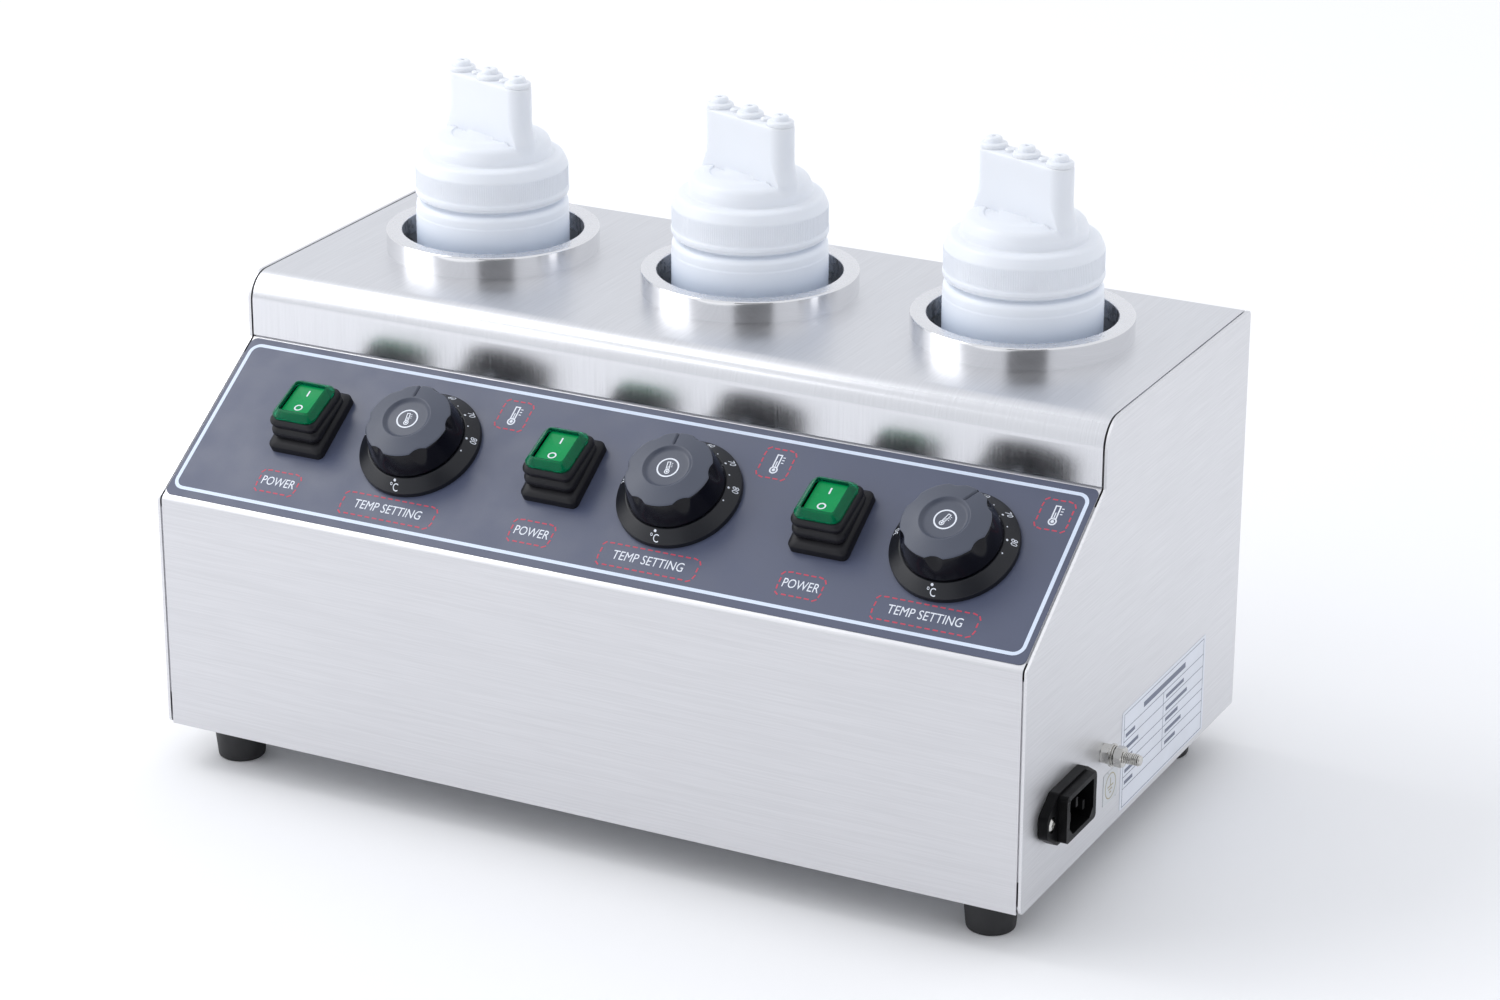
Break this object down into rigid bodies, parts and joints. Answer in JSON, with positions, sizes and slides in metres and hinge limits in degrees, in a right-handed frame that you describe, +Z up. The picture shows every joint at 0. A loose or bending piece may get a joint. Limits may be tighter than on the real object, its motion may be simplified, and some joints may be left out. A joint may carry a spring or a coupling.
{
  "type": "squeeze bottle warmer",
  "caption": "Countertop electric warmer holding a row of squeeze sauce bottles in heated wells, each well with its own power rocker and thermostat dial.",
  "frame": {"origin": "bottom centre of the whole object on the counter, 8.25 mm right of the middle of the casing because only the earth stud stands out of it", "axes": "+Z up, -Y the front with the sloping control panel, +X towards the wall with the power inlet"},
  "size_m": [0.4166, 0.23, 0.2807],
  "materials": {
    "stainless_sheet": "fine brushed, satin",
    "galvanised_base": "plain mill finish",
    "well_steel": "drawn, fine turned marks",
    "polished_steel": "polished rim, satin top",
    "zinc_screws": "bright zinc plate",
    "spindle_steel": "turned",
    "foot_rubber": "matt",
    "boot_rubber": "matt",
    "seal_silicone": "matt, translucent",
    "heater_silicone": "matt",
    "wire_sleeve": "matt",
    "overlay_film": "fine orange-peel print film",
    "label_film": "satin printed film",
    "inlet_nylon": "fine spark-eroded texture",
    "switch_nylon": "satin",
    "thermostat_case": "satin",
    "dial_plastic": "satin gloss",
    "knob_plastic": "satin top, glossy flank",
    "rocker_green": "gloss, lit from inside",
    "lens_green": "clear green cover",
    "bottle_polythene": "milky translucent",
    "cap_polythene": "milky translucent",
    "capillary_copper": "drawn tube"
  },
  "bodies": {
    "root": {"front_panel": "stainless_sheet", "top_cover": "stainless_sheet", "left_side_panel": "stainless_sheet", "right_side_panel": "stainless_sheet", "base_plate": "galvanised_base", "feet": "foot_rubber", "underside_screws": "zinc_screws", "control_overlay": "overlay_film", "rating_label": "label_film", "earth_symbol_label": "label_film", "power_inlet": "inlet_nylon", "inlet_screws": "zinc_screws", "earth_stud": "zinc_screws", "earth_nuts": "zinc_screws", "wiring_harness": "wire_sleeve", "well_left": "well_steel", "collar_left": "polished_steel", "heater_band_left": "heater_silicone", "dial_bezel_left": "dial_plastic", "thermostat_body_left": "thermostat_case", "thermostat_capillary_left": "capillary_copper", "switch_body_left": "switch_nylon", "switch_boot_left": "boot_rubber", "well_middle": "well_steel", "collar_middle": "polished_steel", "heater_band_middle": "heater_silicone", "dial_bezel_middle": "dial_plastic", "thermostat_body_middle": "thermostat_case", "thermostat_capillary_middle": "capillary_copper", "switch_body_middle": "switch_nylon", "switch_boot_middle": "boot_rubber", "well_right": "well_steel", "collar_right": "polished_steel", "heater_band_right": "heater_silicone", "dial_bezel_right": "dial_plastic", "thermostat_body_right": "thermostat_case", "thermostat_capillary_right": "capillary_copper", "switch_body_right": "switch_nylon", "switch_boot_right": "boot_rubber"},
    "bottle_left": {"bottle_left": "bottle_polythene"},
    "seal_left": {"cap_seal_left": "seal_silicone"},
    "cap_left": {"cap_left": "cap_polythene"},
    "knob_left": {"knob_left": "knob_plastic", "knob_spindle_left": "spindle_steel"},
    "rocker_left": {"switch_rocker_left": "rocker_green", "switch_lens_left": "lens_green"},
    "bottle_middle": {"bottle_middle": "bottle_polythene"},
    "seal_middle": {"cap_seal_middle": "seal_silicone"},
    "cap_middle": {"cap_middle": "cap_polythene"},
    "knob_middle": {"knob_middle": "knob_plastic", "knob_spindle_middle": "spindle_steel"},
    "rocker_middle": {"switch_rocker_middle": "rocker_green", "switch_lens_middle": "lens_green"},
    "bottle_right": {"bottle_right": "bottle_polythene"},
    "seal_right": {"cap_seal_right": "seal_silicone"},
    "cap_right": {"cap_right": "cap_polythene"},
    "knob_right": {"knob_right": "knob_plastic", "knob_spindle_right": "spindle_steel"},
    "rocker_right": {"switch_rocker_right": "rocker_green", "switch_lens_right": "lens_green"}
  },
  "joints": [
    {"name": "bottle_lift_left", "type": "slide", "parent": "root", "child": "bottle_left", "axis": [0, 0, 1], "range_m": [0, 0.17]},
    {"name": "cap_rise_left", "type": "slide", "parent": "bottle_left", "child": "seal_left", "axis": [0, 0, 1], "range_m": [0, 0.0076]},
    {"name": "cap_unscrew_left", "type": "hinge", "parent": "seal_left", "child": "cap_left", "pos_m": [-0.13475, 0.043, 0.23], "axis": [0, 0, 1], "range_deg": [0, 540]},
    {"name": "thermostat_turn_left", "type": "hinge", "parent": "root", "child": "knob_left", "pos_m": [-0.10225, -0.07388, 0.1503], "axis": [0, -0.5516, 0.8341], "range_deg": [-103.3, 171]},
    {"name": "power_rock_left", "type": "hinge", "parent": "root", "child": "rocker_left", "pos_m": [-0.15595, -0.07584, 0.1538], "axis": [1, 0, 0], "range_deg": [0, 18.4], "deforming": ["switch_boot_left"]},
    {"name": "bottle_lift_middle", "type": "slide", "parent": "root", "child": "bottle_middle", "axis": [0, 0, 1], "range_m": [0, 0.17]},
    {"name": "cap_rise_middle", "type": "slide", "parent": "bottle_middle", "child": "seal_middle", "axis": [0, 0, 1], "range_m": [0, 0.0076]},
    {"name": "cap_unscrew_middle", "type": "hinge", "parent": "seal_middle", "child": "cap_middle", "pos_m": [-0.00825, 0.043, 0.23], "axis": [0, 0, 1], "range_deg": [0, 540]},
    {"name": "thermostat_turn_middle", "type": "hinge", "parent": "root", "child": "knob_middle", "pos_m": [0.02005, -0.07388, 0.1503], "axis": [0, -0.5516, 0.8341], "range_deg": [-104.3, 170]},
    {"name": "power_rock_middle", "type": "hinge", "parent": "root", "child": "rocker_middle", "pos_m": [-0.03365, -0.07584, 0.1538], "axis": [1, 0, 0], "range_deg": [0, 18.4], "deforming": ["switch_boot_middle"]},
    {"name": "bottle_lift_right", "type": "slide", "parent": "root", "child": "bottle_right", "axis": [0, 0, 1], "range_m": [0, 0.17]},
    {"name": "cap_rise_right", "type": "slide", "parent": "bottle_right", "child": "seal_right", "axis": [0, 0, 1], "range_m": [0, 0.0076]},
    {"name": "cap_unscrew_right", "type": "hinge", "parent": "seal_right", "child": "cap_right", "pos_m": [0.11825, 0.043, 0.23], "axis": [0, 0, 1], "range_deg": [0, 540]},
    {"name": "thermostat_turn_right", "type": "hinge", "parent": "root", "child": "knob_right", "pos_m": [0.14235, -0.07388, 0.1503], "axis": [0, -0.5516, 0.8341], "range_deg": [-70.3, 204]},
    {"name": "power_rock_right", "type": "hinge", "parent": "root", "child": "rocker_right", "pos_m": [0.08865, -0.07584, 0.1538], "axis": [1, 0, 0], "range_deg": [0, 18.4], "deforming": ["switch_boot_right"]}
  ],
  "couplings": [
    {"joint": "cap_rise_left", "follows": "cap_unscrew_left", "m_per_rad": 0.00079577},
    {"joint": "cap_rise_middle", "follows": "cap_unscrew_middle", "m_per_rad": 0.00079577},
    {"joint": "cap_rise_right", "follows": "cap_unscrew_right", "m_per_rad": 0.00079577}
  ]
}
